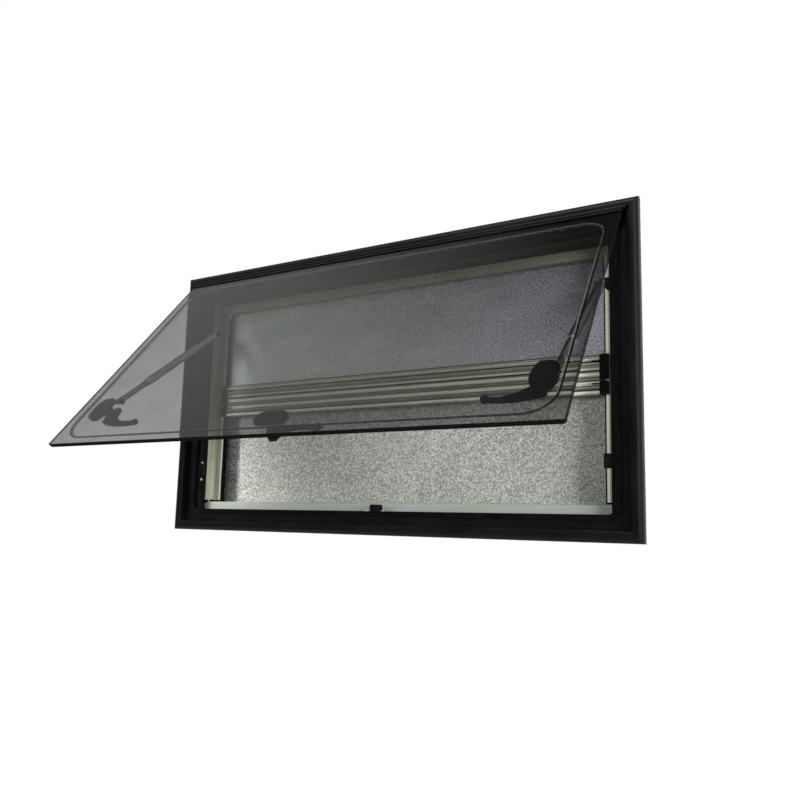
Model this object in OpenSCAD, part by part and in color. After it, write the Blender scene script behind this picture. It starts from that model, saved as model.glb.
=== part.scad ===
// Top-hung caravan window, open on its two telescopic stays, with cassette blind and flyscreen.
// X runs along the wall, Y runs into the room, Z is up. The origin lies on the back of the
// outer flange, at the middle of the bottom rail.

/* [Outer frame] */
// width of the outer aluminium frame
frame_w = 950; // [700:10:1400]
// height of the outer aluminium frame
frame_h = 540; // [480:10:900]
// how far the frame's front stands off the wall skin
frame_front = 18; // [16:0.5:22]
// width of the rounded front band
band_w = 19.4; // [17:0.2:20]
// radius of the band's outer edge
band_r = 9; // [6:0.5:10]
// radius of the band's inner edge
band_lip_r = 3; // [2:0.5:4]
// wall of the extrusion
rail_wall = 2; // [1.6:0.2:2.6]
// overlap of the flange on the wall skin
flange_w = 23; // [20:0.5:26]
// thickness of the leg through the wall
leg_t = 2; // [1.6:0.2:2.6]
// depth of the leg through the wall
leg_d = 26; // [20:1:28]
// distance from the frame's outer edge to the throat
throat_u = 43; // [41:0.5:44]
// depth of the throat wall
throat_d = 19; // [15:0.5:19.3]
// how far the recess floor stands in front of the wall skin
floor_y = 3.2; // [3:0.2:4]
// width of the rubber seal
seal_w = 9; // [7:0.5:10]
// height of the rubber seal above the recess floor
seal_h = 3; // [2.6:0.2:3.4]
// corner radius of the seal's inner edge
seal_r = 14; // [12:1:18]
// thickness of the liners on the side jambs' throats
liner_t = 7; // [5:0.5:7.5]

/* [Hinge] */
// distance of the hinge axis below the frame's top edge
hinge_drop = 20; // [19:0.5:23]
// distance of the hinge axis in front of the wall skin
hinge_out = 20; // [19:0.5:21]
// radius of the hinge bead on the sash
bead_r = 2.6; // [2.4:0.1:3]
// running clearance round the bead
bead_gap = 0.06; // [0.03:0.01:0.1]
// wall round the hinge groove
groove_wall = 2; // [1.6:0.1:2.2]
// opening angle of the sash as it stands
open_angle = 39.8; // [30:0.1:46]

/* [Sash] */
// gap between the pane's side edges and the frame's outer edge
pane_margin = 24.5; // [24.5:0.5:30]
// distance from the hinge axis down to the pane's lower edge, less than the frame height
pane_bottom_gap = 26.9; // [26:0.1:30]
// thickness of the outer acrylic sheet
outer_t = 4; // [3:0.5:4]
// thickness of the inner acrylic sheet
inner_t = 3; // [2:0.25:3]
// thickness of the bond between the two sheets
bond_t = 0.2; // [0.1:0.1:0.4]
// corner radius of the panes
pane_r = 3; // [2:1:8]
// width of the flat border outside the formed seam
border_w = 16; // [14:0.5:22]
// height of the formed inner pane above its border
bulge_h = 2.5; // [2:0.1:3]
// how far the formed wall leans in
bulge_lean = 2.4; // [2:0.2:4]
// corner radius of the formed seam
bulge_r = 43; // [30:1:50]
// width of the outer lip that grips the pane's top edge
lip_h = 2.5; // [2:0.5:5]

/* [Latches] */
// height of the centre latch pivot above the pane's lower edge
centre_rise = 42.4; // [42:0.2:50]
// distance of the centre latch pivot from the middle of the window
centre_x = 4; // [-20:1:20]
// height of the side latch pivots above the pane's lower edge
side_rise = 98.8; // [92:0.2:110]
// distance of the side latch pivots from the pane's side edges
side_inset = 52.5; // [52:0.5:60]
// length of the oval base of the centre latch
oval_w = 59; // [50:1:64]
// height of the oval base of the centre latch
oval_h = 28; // [26:1:34]
// radius of the half-moon bases of the side latches
moon_r = 46; // [42:1:50]
// height of the half-moon bases
moon_h = 54; // [50:1:62]
// corner radius of the half-moon bases
moon_corner = 18; // [12:1:24]
// reach of the half-moon bases inward of the pivot
moon_in = 12; // [8:0.5:13]
// distance of the half-moon's middle below the pivot
moon_low = 4; // [3:0.5:7]
// thickness of the latch bases
base_t = 6; // [4:0.5:7]
// height of the ribs on the half-moon bases
rib_h = 1.5; // [0.5:0.5:2]
// clearance that the bases keep from the keepers
keeper_gap = 5; // [5:0.1:5.5]
// reach of the side keepers into the opening
catch_w = 12; // [10:0.5:12]
// height of the centre keeper above the throat
catch_h = 12; // [9:0.5:12]
// radius of the raised hub of a latch
hub_r = 13; // [11:0.5:14]
// height of the hub above the base
hub_h = 12; // [9:0.5:12]
// radius of the latch spindle
spindle_r = 5; // [4:0.5:6]
// running clearance round the spindle
spindle_gap = 0.06; // [0.03:0.01:0.1]
// length of a lever from its pivot
lever_l = 80; // [70:1:84]
// how far a side lever's lower edge hangs below its pivot
lever_sag = 27.5; // [25:0.5:29]
// width of a lever in the middle
lever_w = 7; // [6:0.5:9]
// thickness of a lever
lever_t = 6.5; // [5:0.5:7.5]
// reach of the centre hook from its pivot
hook_l = 21; // [18:0.5:21.5]
// width of a hook's end
hook_w = 13; // [10:0.5:15]
// reach of a side hook from its pivot
side_hook_l = 18; // [17:0.5:19]

/* [Stays] */
// distance of the stays from the frame's side edges
stay_edge = 64; // [64:0.5:68]
// distance of the stay pivots below the hinge axis
stay_drop = 109; // [96:1:112]
// distance of the stay pivots behind the wall skin
stay_in = 10; // [8:0.5:11]
// radius of the outer stay tube
tube_r = 7.2; // [6.5:0.1:7.4]
// length of the outer stay tube
tube_l = 222; // [205:1:226]
// radius of the stay rod
rod_r = 5; // [4:0.1:5.4]
// running clearance between rod and tube
rod_gap = 0.06; // [0.03:0.01:0.1]
// length of the stay rod
rod_l = 210; // [190:1:212]
// radius of the stay pivot pin
pin_r = 3; // [2.5:0.1:3.4]
// running clearance on the stay pivot pin
pin_gap = 0.05; // [0.03:0.01:0.1]
// height of the rod end above the side latch pivots
rod_end_rise = 38; // [37:0.5:44]
// distance of the rod end behind the outer pane face
rod_end_d = 30; // [27:0.5:32]
// distance from a stay to the outer edge of the half-moon base
moon_edge = 13; // [11:0.5:14]
// thickness of the rod's flat eye
eye_t = 5.4; // [4:0.2:6]
// radius of the rod's flat eye
eye_r = 5; // [4:0.2:6]
// side clearance between the eye and its lug
eye_gap = 1.2; // [0.6:0.1:1.6]

/* [Inner frame] */
// thickness of the caravan wall
wall_t = 30; // [28:1:36]
// depth of the inner frame behind the wall skin
inner_d = 72; // [68:1:80]
// wall of the moulded inner frame
mould_t = 2.5; // [2:0.1:3]
// distance from the frame's outer edge to the inner frame's outer edge
inner_edge = 14; // [8:1:15]
// distance from the frame's outer edge to the reveal
reveal_u = 48; // [46:0.5:49]
// depth at which the inner step starts
step_y = 45; // [43:0.5:46]
// distance from the frame's side edge to the inner opening
side_open = 69.3; // [68:0.1:72]
// distance from the frame's top edge to the inner opening
top_open = 72; // [70:0.5:76]
// distance from the frame's bottom edge to the top of the sill bar
sill_u = 59; // [56:0.5:60]
// front of the sill bar
sill_y = 21.5; // [21.5:0.5:24]
// corner radius of the sill bar's ends
sill_end_r = 5; // [3:0.5:6]
// gap between the inner jambs and the sill bar
jamb_foot = 4; // [2:0.5:6]
// depth of the sill bar
sill_d = 12; // [10:0.5:14]
// radius of the sill bar's upper front edge
sill_r = 6; // [4:0.5:7]
// corner radius of the inner opening
open_r = 15; // [8:1:20]

/* [Blind and screen] */
// depth of the fabrics behind the wall skin
fabric_y = 57; // [56:0.5:58]
// thickness of the fabrics
fabric_t = 0.8; // [0.6:0.1:1.2]
// how far the fabrics run into the side channels
fabric_grip = 4; // [3:0.5:5]
// width of the side channels
channel_w = 9; // [8:0.5:10]
// depth of the side channels
channel_d = 13; // [12:0.5:14]
// how much of the side channels shows beside the jambs' faces
channel_show = 6.5; // [4:0.5:7]
// width of the slot in the side channels
channel_slot = 3; // [2.4:0.2:4]
// height of the flyscreen pull bar
screen_bar_h = 43; // [36:1:48]
// height of the blind pull bar
blind_bar_h = 23; // [18:1:28]
// height of the meeting line of the bars above the middle of the window
bar_meet = -8; // [-40:1:40]
// front of the pull bars
bar_y = 42; // [40:0.5:43]
// depth of the pull bars
bar_d = 17.5; // [17:0.5:18]
// wall of the pull bars
bar_wall = 1.4; // [1:0.1:2]
// length of the gliders beyond the bar's ends
glider_l = 7; // [6:0.5:9]
// radius of the roller tubes
roller_r = 11; // [9:0.5:12]
// wall of the roller tubes
roller_t = 1; // [0.8:0.1:1.4]
// distance of the roller axes from the frame's top and bottom edges
roller_u = 32; // [30:1:34]
// how far the fabrics hang into the cassettes
fabric_tuck = 8; // [6:1:9]

/* [Hidden] */
$fn = 48;
zc = frame_h / 2 - flange_w / 2;
hinge_y = -hinge_out;
hinge_z = frame_h / 2 - hinge_drop;
pane_w = frame_w - 2 * pane_margin;
pane_top = -(bead_r + bead_gap + groove_wall + 0.5 + 2.1);
pane_bot = -(frame_h - hinge_drop - pane_bottom_gap);
pane_face = -1;
border_y = pane_face + outer_t + bond_t + inner_t;
plateau_y = border_y + bulge_h;
centre_z = pane_bot + centre_rise;
side_z = pane_bot + side_rise;
side_x = pane_w / 2 - side_inset;
lever_y = plateau_y + base_t + hub_h + 0.5;
lever_front = hinge_y + lever_y;
keeper_front = hinge_y + plateau_y + base_t + rib_h + keeper_gap;
stay_z = hinge_z - stay_drop;
stay_x = frame_w / 2 - stay_edge;
end_y = pane_face + rod_end_d;
end_z = side_z + rod_end_rise;
rest_y = hinge_y + end_y * cos(open_angle) + end_z * sin(open_angle);
rest_z = hinge_z - end_y * sin(open_angle) + end_z * cos(open_angle);
stay_l = norm([rest_y - stay_in, rest_z - stay_z]);
stay_angle = atan2(stay_in - rest_y, stay_z - rest_z);
open_x = frame_w / 2 - side_open;
open_top = frame_h / 2 - top_open;
sill_z = -frame_h / 2 + sill_u;
bar_w = 2 * (open_x - glider_l) - 1;
roller_w = 2 * open_x - 10;

// moves window-centred shapes so that the origin lies on the bottom flange
module centred() {
  translate([0, 0, zc]) children();
}

// places shapes drawn on the closed sash, hinge axis at zero, at the open angle
module on_sash() {
  translate([0, hinge_y, zc + hinge_z]) rotate([-open_angle, 0, 0]) children();
}

// draws a section given as [depth, distance from the outer edge] along X
module along_x(len) {
  translate([-len / 2, 0, 0]) rotate([90, 0, 90]) linear_extrude(height = len) children();
}

// a plate in the XZ plane from depth y0 to y1
module plate(y0, y1) {
  translate([0, y1, 0]) rotate([90, 0, 0]) linear_extrude(height = y1 - y0) children();
}

module rounded(w, h, r) {
  translate([0, (h / 2 - r)]) square([w - 2 * r, 2 * r], center = true);
  translate([0, -(h / 2 - r)]) square([w - 2 * r, 2 * r], center = true);
  square([w, h - 2 * r], center = true);
  for (x = [-1, 1], z = [-1, 1]) translate([x * (w / 2 - r), z * (h / 2 - r)]) circle(r);
}

// section of the aluminium rail, with its hollow chamber
module rail_section() {
  difference() {
    union() {
      translate([-frame_front + band_r, band_r]) circle(band_r);
      translate([-frame_front + band_r, 0]) square([frame_front - band_r, flange_w]);
      translate([-frame_front, band_r]) square([frame_front - 1, band_w - band_r - band_lip_r]);
      translate([-frame_front + band_lip_r, band_w - band_lip_r]) circle(band_lip_r);
      translate([-frame_front + band_lip_r, band_r]) square([frame_front - 4, band_w - band_r]);
      translate([-floor_y, band_w - 1]) square([rail_wall, throat_u - band_w + 1]);
      translate([-floor_y, throat_u - rail_wall]) square([floor_y + throat_d, rail_wall]);
      translate([-floor_y, flange_w]) square([floor_y + leg_d, leg_t]);
    }
    translate([-frame_front + band_r, band_r]) circle(band_r - rail_wall);
    translate([-frame_front + band_r, rail_wall])
      square([frame_front - band_r - rail_wall, band_w - 2 * rail_wall]);
    translate([-frame_front + rail_wall, band_r])
      square([frame_front - 2 * rail_wall, band_w - band_r - rail_wall]);
    translate([-frame_front - 5, band_w]) square([frame_front + 5 - floor_y, 30]);
  }
}

// section of the top rail, the same with the hinge groove
module top_section() {
  groove_r = bead_r + bead_gap;
  difference() {
    union() {
      rail_section();
      translate([-hinge_out, hinge_drop]) difference() {
        circle(groove_r + groove_wall);
        polygon([[0, 0], [20 * sin(35), 20 * cos(35)], [-20 * sin(25), 20 * cos(25)],
          [-20 * sin(85), 20 * cos(85)]]);
      }
      translate([-hinge_out + bead_r + 1, hinge_drop - 1.5])
        square([hinge_out - bead_r - floor_y, 3]);
    }
    translate([-hinge_out, hinge_drop]) circle(groove_r);
  }
}

module mitre_flat() {
  m = 100;
  plate(-60, 60) polygon([[-frame_w / 2, 0], [frame_w / 2, 0], [frame_w / 2 - m, m], [-frame_w / 2 + m, m]]);
}

module mitre_side() {
  m = 100;
  plate(-60, 60) polygon([[0, 0], [0, frame_h], [m, frame_h - m], [m, m]]);
}

module frame_top_rail() {
  color("#202123") centred() translate([0, 0, frame_h / 2]) mirror([0, 0, 1]) intersection() {
    along_x(frame_w) top_section();
    mitre_flat();
  }
}

module frame_bottom_rail() {
  color("#202123") centred() translate([0, 0, -frame_h / 2]) intersection() {
    along_x(frame_w) rail_section();
    mitre_flat();
  }
}

module frame_left_jamb() {
  color("#202123") centred() translate([-frame_w / 2, 0, -frame_h / 2]) intersection() {
    mirror([1, -1, 0]) linear_extrude(height = frame_h) rail_section();
    mitre_side();
  }
  color("#202123") centred() translate([-frame_w / 2, 0, -frame_h / 2 + throat_u])
    mirror([1, -1, 0]) linear_extrude(height = frame_h - 2 * throat_u) difference() {
      translate([0, throat_u - 0.5]) square([throat_d, liner_t + 0.5]);
      translate([throat_d / 2 - 1, throat_u + liner_t - 1]) square([2, 2]);
    }
  color("#202123") centred() translate([-frame_w / 2, 0, -frame_h / 2 + throat_u])
    mirror([1, -1, 0]) linear_extrude(height = sill_u + jamb_foot - 0.5 - throat_u)
      translate([throat_d - 1, throat_u - 0.5]) square([sill_y + sill_d - throat_d, reveal_u - throat_u]);
}

module frame_right_jamb() {
  mirror([1, 0, 0]) frame_left_jamb();
}

module sash_seal() {
  w = frame_w - 2 * throat_u + 0.6;
  h = frame_h - 2 * throat_u + 0.6;
  color("#101112") centred() plate(-floor_y - seal_h, -floor_y) difference() {
    rounded(w + 2 * seal_w, h + 2 * seal_w, seal_r + seal_w);
    rounded(w, h, seal_r);
  }
}

module outer_pane() {
  h = pane_top - pane_bot;
  color("#5b5f61", 0.6) on_sash() translate([0, 0, pane_bot + h / 2])
    plate(pane_face, pane_face + outer_t) rounded(pane_w, h, pane_r);
}

// a formed plateau with a sloping wall and a rounded shoulder, from depth y0 to y1
module formed(w, h, r, lean, y0, y1) {
  shoulder = lean / 2;
  hull() {
    plate(y0, y0 + 0.05) rounded(w, h, r);
    plate(y1 - shoulder, y1 - shoulder + 0.05) rounded(w - lean, h - lean, r - lean / 2);
  }
  hull() {
    plate(y1 - shoulder, y1 - shoulder + 0.05) rounded(w - lean, h - lean, r - lean / 2);
    plate(y1 - 0.05, y1) rounded(w - 2 * lean, h - 2 * lean, r - lean);
  }
}

module inner_pane() {
  h = pane_top - pane_bot;
  bw = pane_w - 2 * border_w;
  bh = h - 2 * border_w;
  color("#6d7173", 0.6) on_sash() translate([0, 0, pane_bot + h / 2]) difference() {
    union() {
      plate(border_y - inner_t, border_y) rounded(pane_w - 1, h - 1, pane_r);
      formed(bw, bh, bulge_r, bulge_lean, border_y - 1, plateau_y);
    }
    formed(bw - 2 * inner_t, bh - 2 * inner_t, bulge_r - inner_t, bulge_lean,
      border_y - inner_t - 0.5, plateau_y - inner_t);
  }
}

module sash_hinge_profile() {
  color("#1c1d1f") on_sash() along_x(pane_w) {
    circle(bead_r);
    translate([-1, pane_top]) square([2, -pane_top - 1]);
    translate([pane_face - 1.8, pane_top + 0.1]) square([border_y - pane_face + 3.6, 2]);
    translate([pane_face - 1.8, pane_top - lip_h]) square([1.8, lip_h + 1]);
    translate([border_y, pane_top - 10]) square([1.8, 11]);
  }
}

module spindle_at(x, z) {
  translate([x, plateau_y, z]) rotate([-90, 0, 0]) {
    cylinder(r = hub_r - 4, h = base_t + hub_h);
    cylinder(r = spindle_r, h = base_t + hub_h + 0.5 + lever_t + 1);
    translate([0, 0, base_t + hub_h + 0.5 + lever_t + 0.5]) cylinder(r = spindle_r + 2, h = 1.5);
  }
}

module latch_base_centre() {
  color("#141516") on_sash() {
    translate([centre_x, 0, centre_z]) plate(plateau_y, plateau_y + base_t)
      rounded(oval_w, oval_h, oval_h / 2 - 0.5);
    spindle_at(centre_x, centre_z);
  }
}

module side_base() {
  flat_x = stay_x + moon_edge;
  mid_z = side_z - moon_low;
  foot = rod_end_rise - moon_h / 2 + moon_low + 4;
  on_sash() {
    plate(plateau_y, plateau_y + base_t) intersection() {
      translate([side_x - moon_in + moon_r, mid_z]) circle(moon_r);
      translate([flat_x - moon_h / 2, mid_z]) rounded(moon_h, moon_h, moon_corner);
    }
    for (i = [0:2]) translate([flat_x - 5, plateau_y, mid_z - 8 + 9 * i]) rotate([-90, 0, 0])
      cylinder(r = 2.2, h = base_t + rib_h);
    spindle_at(side_x, side_z);
    translate([stay_x - eye_t / 2 - eye_gap - 6, 0, end_z]) rotate([0, 90, 0]) linear_extrude(height = 6) {
      translate([0, end_y]) circle(eye_r);
      polygon([[-eye_r, end_y], [eye_r, end_y], [foot + 18, plateau_y + 1], [foot, plateau_y + 1]]);
    }
  }
}

module latch_base_right() {
  color("#141516") side_base();
}

module latch_base_left() {
  mirror([1, 0, 0]) latch_base_right();
}

// a hook's outline, pointing down, with a small catch on its side
module hook_outline(reach, w) {
  polygon([[-w / 2 - 8, -4], [w / 2 + 4, -4], [w / 2, -reach], [-w / 2 + 1, -reach],
    [-w / 2 - 2, -reach + 5], [-w / 2 - 4, -reach + 7]]);
}

// outline of the side lever's arm, which hangs in a bow below its pivot
module bowed_arm() {
  low_r = 2 * lever_l;
  top_r = 0.72 * lever_l;
  tip_r = lever_w / 2 + 2;
  difference() {
    intersection() {
      translate([0.56 * lever_l, low_r - lever_sag]) circle(low_r, $fn = 160);
      translate([-8, -lever_sag - 1]) square([lever_l - tip_r + 8, lever_sag + 1]);
    }
    translate([0.71 * lever_l, top_r + lever_w - lever_sag]) circle(top_r, $fn = 120);
  }
  translate([lever_l - tip_r, tip_r - lever_sag + 1]) circle(tip_r);
}

// outline of the centre lever's arm, which is arched along its pivot's height
module arched_arm() {
  top_r = 5 * lever_l;
  low_r = 1.06 * lever_l;
  tip_r = lever_w / 2 + 1.5;
  difference() {
    intersection() {
      translate([lever_l / 2, lever_w / 2 - top_r]) circle(top_r, $fn = 200);
      translate([0, -13]) square([lever_l - tip_r, 26]);
    }
    translate([0.58 * lever_l, -lever_w / 2 - low_r]) circle(low_r, $fn = 160);
  }
  translate([lever_l - tip_r, -1.5]) circle(tip_r);
}

// a lever on its spindle at zero, made from the outlines handed to it
module lever_on_spindle() {
  translate([0, lever_y, 0]) difference() {
    union() {
      rotate([-90, 0, 0]) cylinder(r = hub_r, h = lever_t);
      plate(0, lever_t) children();
    }
    rotate([-90, 0, 0]) translate([0, 0, -1]) cylinder(r = spindle_r + spindle_gap, h = lever_t + 2);
  }
}

module lever_centre() {
  color("#17181a") on_sash() translate([centre_x, 0, centre_z]) lever_on_spindle() {
    arched_arm();
    hook_outline(hook_l, hook_w);
  }
}

module lever_left() {
  color("#17181a") on_sash() translate([-side_x, 0, side_z]) lever_on_spindle() {
    bowed_arm();
    mirror([0, 1]) translate([3, 0]) hook_outline(side_hook_l, hook_w - 2);
  }
}

module lever_right() {
  mirror([1, 0, 0]) lever_left();
}

module keeper_centre() {
  color("#101112") centred() translate([centre_x, 0, -frame_h / 2 + throat_u + catch_h / 2])
    plate(keeper_front, lever_front - 0.5) rounded(24, catch_h, 3);
}

module keeper_right() {
  x1 = frame_w / 2 - throat_u - liner_t;
  color("#101112") centred() translate([x1 - catch_w / 2, 0, hinge_z + side_z])
    plate(keeper_front, lever_front - 0.5) rounded(catch_w, 23, 2);
}

module keeper_left() {
  mirror([1, 0, 0]) keeper_right();
}

module stay_bracket_right() {
  x1 = frame_w / 2 - throat_u - liner_t;
  color("#101112") centred() translate([0, stay_in, stay_z]) {
    translate([stay_x + 7, -9, -8]) cube([x1 - stay_x - 7, 18, 16]);
    translate([stay_x - 9, 0, 0]) rotate([0, 90, 0]) cylinder(r = pin_r, h = 20);
    translate([stay_x - 9, 0, 0]) rotate([0, 90, 0]) cylinder(r = pin_r + 2, h = 2);
  }
}

module stay_bracket_left() {
  mirror([1, 0, 0]) stay_bracket_right();
}

module stay_tube_right() {
  color("#8b8e8c") centred() translate([stay_x, stay_in, stay_z]) rotate([-stay_angle, 0, 0])
    difference() {
      union() {
        translate([-6, 0, 0]) rotate([0, 90, 0]) cylinder(r = tube_r, h = 12);
        translate([0, 0, -tube_l]) cylinder(r = tube_r, h = tube_l);
      }
      translate([-15, 0, 0]) rotate([0, 90, 0]) cylinder(r = pin_r + pin_gap, h = 30);
      translate([0, 0, -tube_l - 1]) cylinder(r = rod_r + rod_gap, h = tube_l - 14);
      translate([-15, -15, -15]) cube([9, 30, 30]);
      translate([6, -15, -15]) cube([9, 30, 30]);
    }
}

module stay_tube_left() {
  mirror([1, 0, 0]) stay_tube_right();
}

module stay_rod_right() {
  color("#9ea1a0") centred() translate([stay_x, stay_in, stay_z]) rotate([-stay_angle, 0, 0]) {
    translate([0, 0, -stay_l + 22]) cylinder(r = rod_r, h = rod_l - 22);
    translate([-eye_t / 2, 0, -stay_l]) rotate([0, 90, 0]) cylinder(r = eye_r, h = eye_t);
    translate([-eye_t / 2, -eye_r + 0.5, -stay_l]) cube([eye_t, 2 * eye_r - 1, 24]);
  }
}

module stay_rod_left() {
  mirror([1, 0, 0]) stay_rod_right();
}

// bearing plates that carry a roller's ends and plates that close a cassette's ends
module cassette_plates(y0, u1) {
  w = frame_w - 2 * inner_edge;
  for (x = [-w / 2 + 1.5, -roller_w / 2 - 1.5, roller_w / 2 + 1.5, w / 2 - 1.5])
    translate([x, 0, 0]) along_x(3) translate([y0 + 1, inner_edge + 1])
      square([inner_d - y0 - 2, u1 - inner_edge - 2]);
}

// section of the inner jamb as [depth, distance from the outer edge]
module inner_section(open_u) {
  difference() {
    polygon([[throat_d + 0.5, reveal_u - mould_t], [throat_d + 0.5, reveal_u], [step_y, reveal_u],
      [step_y, open_u], [inner_d, open_u], [inner_d, inner_edge], [wall_t, inner_edge],
      [wall_t, reveal_u - mould_t]]);
    translate([wall_t + mould_t, inner_edge + mould_t])
      square([inner_d - wall_t - 2 * mould_t, reveal_u - inner_edge - 3 * mould_t]);
    translate([step_y + mould_t, reveal_u - 10])
      square([inner_d - step_y - 2 * mould_t, open_u - channel_w - mould_t - reveal_u + 10]);
    translate([step_y + mould_t, open_u - channel_w]) square([channel_d, channel_w + 5]);
    translate([step_y - 1, open_u - channel_show]) square([mould_t + 2, channel_show + 5]);
    for (y = [26, 32, 38]) translate([y, reveal_u - 0.8]) square([1.4, 2]);
  }
}

module inner_left_jamb() {
  z0 = sill_z + jamb_foot;
  z1 = open_top;
  z2 = frame_h / 2 - reveal_u;
  color("#d9d7c6") centred() translate([-frame_w / 2, 0, z0]) mirror([1, -1, 0]) {
    linear_extrude(height = z1 - z0) inner_section(side_open);
    linear_extrude(height = z2 - z0) intersection() {
      inner_section(side_open);
      square([step_y, 2 * side_open]);
    }
  }
}

module inner_right_jamb() {
  mirror([1, 0, 0]) inner_left_jamb();
}

module inner_top_cassette() {
  w = frame_w - 2 * inner_edge;
  rw = frame_w - 2 * reveal_u;
  color("#d9d7c6") centred() translate([0, 0, frame_h / 2]) mirror([0, 0, 1]) {
    along_x(w) difference() {
      translate([wall_t, inner_edge]) square([inner_d - wall_t, top_open - inner_edge]);
      translate([wall_t + mould_t, inner_edge + mould_t])
        square([inner_d - wall_t - 2 * mould_t, top_open - inner_edge - 2 * mould_t]);
      translate([fabric_y - 2, top_open - 10]) square([4, 20]);
      translate([wall_t - 1, reveal_u]) square([step_y - wall_t + 1, 60]);
    }
    along_x(rw) translate([throat_d + 0.5, reveal_u - mould_t]) square([wall_t - throat_d - 0.5, mould_t]);
    along_x(rw) translate([wall_t, reveal_u - mould_t]) square([step_y + mould_t - wall_t, mould_t]);
    along_x(rw) translate([step_y, reveal_u - mould_t]) square([mould_t, top_open - reveal_u + mould_t]);
    cassette_plates(wall_t, reveal_u);
  }
  color("#d9d7c6") centred() for (side = [0, 1]) mirror([side, 0, 0])
    translate([open_x - open_r, 0, open_top - open_r]) plate(step_y, step_y + mould_t) difference() {
      square([open_r, open_r + 1]);
      circle(open_r);
    }
}

module inner_bottom_cassette() {
  w = frame_w - 2 * inner_edge;
  y0 = sill_y + sill_d;
  color("#d9d7c6") centred() translate([0, 0, -frame_h / 2]) {
    along_x(w) difference() {
      translate([y0, inner_edge]) square([inner_d - y0, sill_u - inner_edge]);
      translate([y0 + mould_t, inner_edge + mould_t])
        square([inner_d - y0 - 2 * mould_t, sill_u - inner_edge - 2 * mould_t]);
      translate([fabric_y - 2, sill_u - 10]) square([4, 20]);
    }
    cassette_plates(y0, sill_u - fabric_tuck);
  }
}

module sill_bar() {
  h = sill_u - throat_u - 0.5;
  w = frame_w - 2 * reveal_u;
  color("#d5dadb") centred() translate([0, 0, sill_z - h]) intersection() {
    along_x(w) {
      translate([sill_y, 0]) square([sill_d, h - sill_r]);
      translate([sill_y + sill_r, 0]) square([sill_d - sill_r, h]);
      translate([sill_y + sill_r, h - sill_r]) circle(sill_r);
    }
    plate(sill_y - 1, sill_y + sill_d + 1) rounded(w, 2 * h, sill_end_r);
  }
}

// a side channel with its lip in front and its foot pad under the jamb
module channel_left() {
  y0 = step_y + mould_t;
  y1 = sill_y + sill_d;
  pad = side_open - channel_w - reveal_u;
  color("#0e0f10") centred() translate([-open_x - channel_w, 0, sill_z]) mirror([1, -1, 0]) {
    linear_extrude(height = open_top - sill_z) difference() {
      union() {
        translate([y0, 0]) square([channel_d, channel_w]);
        translate([step_y, channel_w - channel_show]) square([mould_t + 1, channel_show]);
      }
      translate([fabric_y - channel_slot / 2, channel_w - fabric_grip - 1]) square([channel_slot, 10]);
    }
    linear_extrude(height = jamb_foot) translate([y1, -pad]) square([y0 + channel_d - y1, pad + 1]);
  }
}

module channel_right() {
  mirror([1, 0, 0]) channel_left();
}

module roller(z) {
  color("#9b9d9c") centred() translate([-roller_w / 2, fabric_y - roller_r * 0.35, z])
    rotate([0, 90, 0]) difference() {
      cylinder(r = roller_r, h = roller_w);
      translate([0, 0, -1]) cylinder(r = roller_r - roller_t, h = roller_w + 2);
    }
}

module screen_roller() {
  roller(frame_h / 2 - roller_u);
}

module blind_roller() {
  roller(-frame_h / 2 + roller_u);
}

module flyscreen() {
  z0 = bar_meet + screen_bar_h - 3;
  color("#6f6b78", 0.7) centred() translate([-open_x - fabric_grip, fabric_y - fabric_t / 2, z0])
    cube([2 * open_x + 2 * fabric_grip, fabric_t, open_top + fabric_tuck - z0]);
}

module blind_fabric() {
  z1 = bar_meet - 1 - blind_bar_h + 3;
  color("#a9aca8") centred()
    translate([-open_x - fabric_grip, fabric_y - fabric_t / 2, sill_z - fabric_tuck])
    cube([2 * open_x + 2 * fabric_grip, fabric_t, z1 - sill_z + fabric_tuck]);
}

// hollow pull bar section as [depth, height], a recessed face with [height, radius] of each bead
module bar_section(h, beads, grooves) {
  difference() {
    union() {
      translate([bar_y + 3, 0]) square([bar_d - 3, h]);
      for (b = beads) translate([bar_y + b[1], b[0]]) {
        circle(b[1]);
        translate([0, -b[1]]) square([4 - b[1], 2 * b[1]]);
      }
    }
    for (g = grooves) translate([bar_y - 1, g[0]]) square([1 + g[2], g[1] - g[0]]);
    translate([bar_y + 6 + bar_wall, bar_wall]) square([bar_d - 6 - 2 * bar_wall, h - 2 * bar_wall - 4]);
  }
}

module screen_pull_bar() {
  h = screen_bar_h;
  color("#b9bbb8") centred() translate([0, 0, bar_meet]) along_x(bar_w) difference() {
    bar_section(h, [[2.6, 2.2], [15.8, 2.4], [23.6, 1.6], [28, 1.4], [36.6, 2.6]],
      [[7, 8.6, 5], [19.2, 21.2, 5], [31, 33.2, 6], [40.6, h + 1, 5]]);
    translate([fabric_y - 1, h - 3.2]) square([2, 4]);
  }
}

module blind_pull_bar() {
  h = blind_bar_h;
  color("#b9bbb8") centred() translate([0, 0, bar_meet - 1 - h]) along_x(bar_w) difference() {
    bar_section(h, [[3.6, 2], [12.8, 2.2]], [[7.6, 9.8, 6], [17.4, 19.6, 6]]);
    translate([fabric_y - 1, -1]) square([2, 4.2]);
  }
}

module glider(z, h, fabric_end, tongue) {
  x0 = bar_w / 2;
  x1 = open_x - 0.4;
  tongue_z = fabric_end > 0 ? 0 : 4;
  color("#0e0f10") centred() translate([0, 0, z]) {
    translate([x0, bar_y - 1, 0]) cube([x1 - x0, fabric_y - fabric_t / 2 - 0.4 - bar_y + 1, h]);
    translate([x0, bar_y, tongue_z]) cube([x1 - x0, bar_d, h - 4]);
    translate([x0, bar_y - 1, 0]) cube([15, 3.6, h]);
    translate([x0 - 13, bar_y, tongue]) cube([14, 5, 1.8]);
  }
}

module screen_glider_right() {
  glider(bar_meet + 1, screen_bar_h - 1, 1, 30.2);
}

module screen_glider_left() {
  mirror([1, 0, 0]) screen_glider_right();
}

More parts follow.
